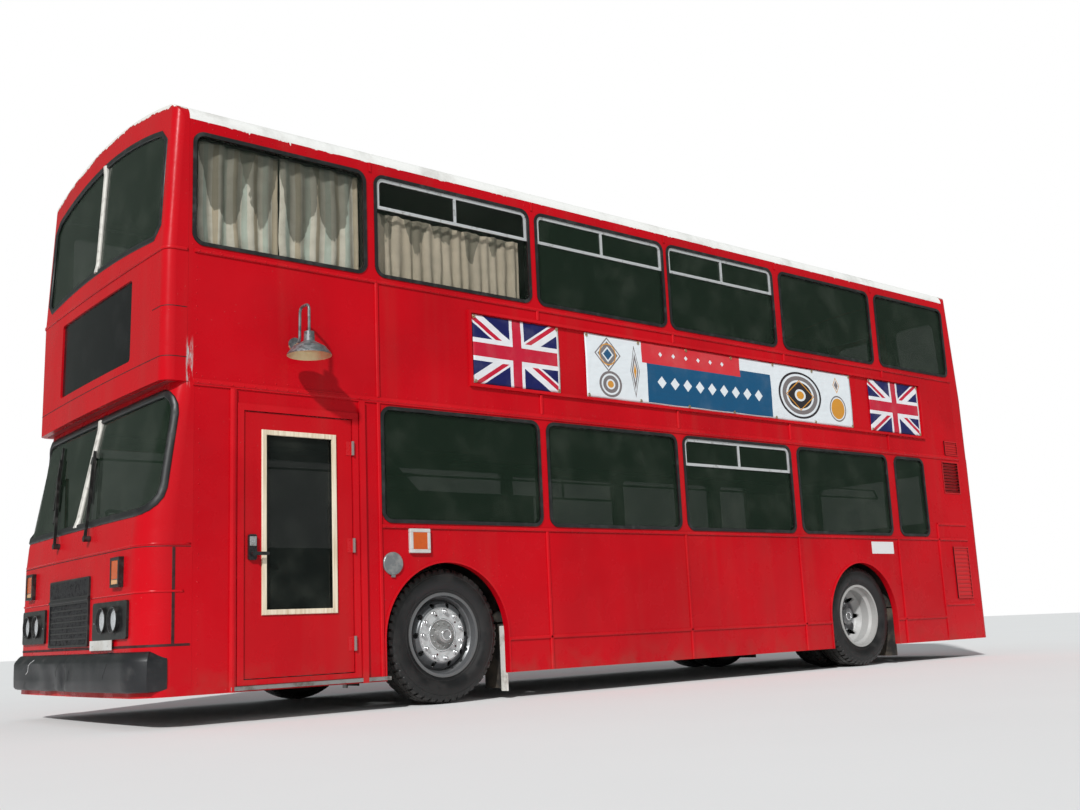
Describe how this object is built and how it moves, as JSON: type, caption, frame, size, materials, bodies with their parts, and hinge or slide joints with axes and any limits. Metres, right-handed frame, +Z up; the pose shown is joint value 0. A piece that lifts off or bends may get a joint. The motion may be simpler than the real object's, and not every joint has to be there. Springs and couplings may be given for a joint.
{
  "type": "double decker bus",
  "caption": "Full-size red double decker bus made into a place to stay, with hinged entrance door, steering front wheels, twin rear wheels, two rear lids and banners along its side.",
  "frame": {"origin": "on the ground, midway between front and tail, on the centreline", "axes": "+X forward, +Y to the nearside (left) where the entrance is, +Z up"},
  "size_m": [9.5118, 2.8776, 4.1719],
  "materials": {
    "red_paint": "gloss red coach paint, a little faded, with rivets and shallow dents",
    "red_trim": "gloss red over extruded mouldings and frames",
    "door_red": "brushed-on gloss red",
    "white_roof": "weathered white paint with dirt streaks",
    "black_rubber": "black window rubber with a filler strip",
    "aluminium": "dull extruded aluminium",
    "glass": "green-grey tinted safety glass",
    "black_screen": "black bare screen behind a clear sheet",
    "black_grille": "dusty black grille",
    "lamp_black": "dark lamp panel",
    "clear_lens": "clear ribbed lamp glass",
    "amber_lens": "amber lens in a pale housing",
    "bumper_grey": "worn dark grey moulding with scuffs",
    "wiper_black": "satin black",
    "floor": "dark speckled floor covering",
    "deck": "dark floor covering with a pale ceiling below",
    "underbody_black": "black underbody paint with road dirt",
    "step_tread": "worn ribbed tread plate",
    "stair_paint": "grey paint",
    "axle_iron": "black painted forging with dirt",
    "spring_rubber": "black rubber bellows",
    "engine_iron": "oily dark iron",
    "dash_plastic": "textured black plastic",
    "seat_fabric": "dark blue moquette",
    "cap_metal": "dull grey metal",
    "galvanised": "galvanised grey with a pale inside",
    "banner_cloth": "printed vinyl cloth with creases",
    "curtain_cloth": "cream striped and plain beige cloth",
    "door_glass": "dark reflecting glass",
    "cream_wood": "cream painted wood bead",
    "black_metal": "black lock, with red painted hinges",
    "wheel_silver": "silver paint with brake dust",
    "wheel_grey": "light grey paint with a dark centre",
    "tyre": "worn black tyre"
  },
  "bodies": {
    "body": {"upper_side_walls": "red_paint", "lower_side_walls": "red_paint", "skirt_panels": "red_paint", "arch_panels": "red_paint", "door_surround": "red_paint", "door_frame": "red_trim", "front_upper": "red_paint", "front_lower": "red_paint", "rear_upper": "red_paint", "rear_lower": "red_paint", "roof": "white_roof", "side_mouldings": "red_trim", "banner_frame": "red_trim", "window_rubbers": "black_rubber", "hopper_frames": "aluminium", "window_glass": "glass", "destination_screen": "black_screen", "front_grille": "black_grille", "headlamp_units": "lamp_black", "headlamp_lenses": "clear_lens", "signal_lamps": "amber_lens", "front_bumper": "bumper_grey", "windscreen_wipers": "wiper_black", "lower_floor": "floor", "upper_floor": "deck", "wheel_boxes": "underbody_black", "entrance_steps": "step_tread", "engine_bulkhead": "underbody_black", "staircase": "stair_paint", "chassis_frame": "underbody_black", "cross_members": "underbody_black", "side_louvres": "red_trim", "front_axle": "axle_iron", "rear_axle": "axle_iron", "air_springs": "spring_rubber", "engine_block": "engine_iron", "cab_dash": "dash_plastic", "driver_seat": "seat_fabric", "filler_cap": "cap_metal", "wall_lamp": "galvanised", "banner_cloths": "banner_cloth", "curtains": "curtain_cloth"},
    "entrance_door": {"entrance_door": "door_red", "door_glass": "door_glass", "door_glass_bead": "cream_wood", "door_hardware": "black_metal"},
    "engine_cover": {"engine_cover": "red_paint"},
    "rear_exit_door": {"rear_exit_door": "red_paint", "rear_exit_glass": "glass"},
    "front_left_knuckle": {"front_left_knuckle": "axle_iron"},
    "front_right_knuckle": {"front_right_knuckle": "axle_iron"},
    "front_left_wheel": {"front_left_rim": "wheel_silver", "front_left_tyre": "tyre"},
    "front_right_wheel": {"front_right_rim": "wheel_silver", "front_right_tyre": "tyre"},
    "rear_left_wheels": {"rear_left_rims": "wheel_grey", "rear_left_tyres": "tyre"},
    "rear_right_wheels": {"rear_right_rims": "wheel_grey", "rear_right_tyres": "tyre"}
  },
  "joints": [
    {"name": "entrance_door_hinge", "type": "hinge", "parent": "body", "child": "entrance_door", "pos_m": [3.207, 1.2693, 1.11], "axis": [0, 0, 1], "range_deg": [0, 100]},
    {"name": "engine_cover_hinge", "type": "hinge", "parent": "body", "child": "engine_cover", "pos_m": [-4.7466, 0, 1.398], "axis": [0, 1, 0], "range_deg": [0, 80]},
    {"name": "rear_exit_hinge", "type": "hinge", "parent": "body", "child": "rear_exit_door", "pos_m": [-4.651, 0, 3.788], "axis": [0, 1, 0], "range_deg": [0, 85]},
    {"name": "steering_left", "type": "hinge", "parent": "body", "child": "front_left_knuckle", "pos_m": [2.427, 0.87, 0.485], "axis": [0, 0, 1], "range_deg": [-38, 38]},
    {"name": "steering_right", "type": "hinge", "parent": "body", "child": "front_right_knuckle", "pos_m": [2.427, -0.87, 0.485], "axis": [0, 0, 1], "range_deg": [-38, 38]},
    {"name": "front_left_roll", "type": "hinge", "parent": "front_left_knuckle", "child": "front_left_wheel", "pos_m": [2.427, 1.062, 0.485], "axis": [0, 1, 0], "continuous": true},
    {"name": "front_right_roll", "type": "hinge", "parent": "front_right_knuckle", "child": "front_right_wheel", "pos_m": [2.427, -1.062, 0.485], "axis": [0, 1, 0], "continuous": true},
    {"name": "rear_left_roll", "type": "hinge", "parent": "body", "child": "rear_left_wheels", "pos_m": [-2.526, 0.8995, 0.485], "axis": [0, 1, 0], "continuous": true},
    {"name": "rear_right_roll", "type": "hinge", "parent": "body", "child": "rear_right_wheels", "pos_m": [-2.526, -0.8995, 0.485], "axis": [0, 1, 0], "continuous": true}
  ],
  "couplings": [
    {"joint": "steering_right", "follows": "steering_left", "ratio": 1}
  ]
}
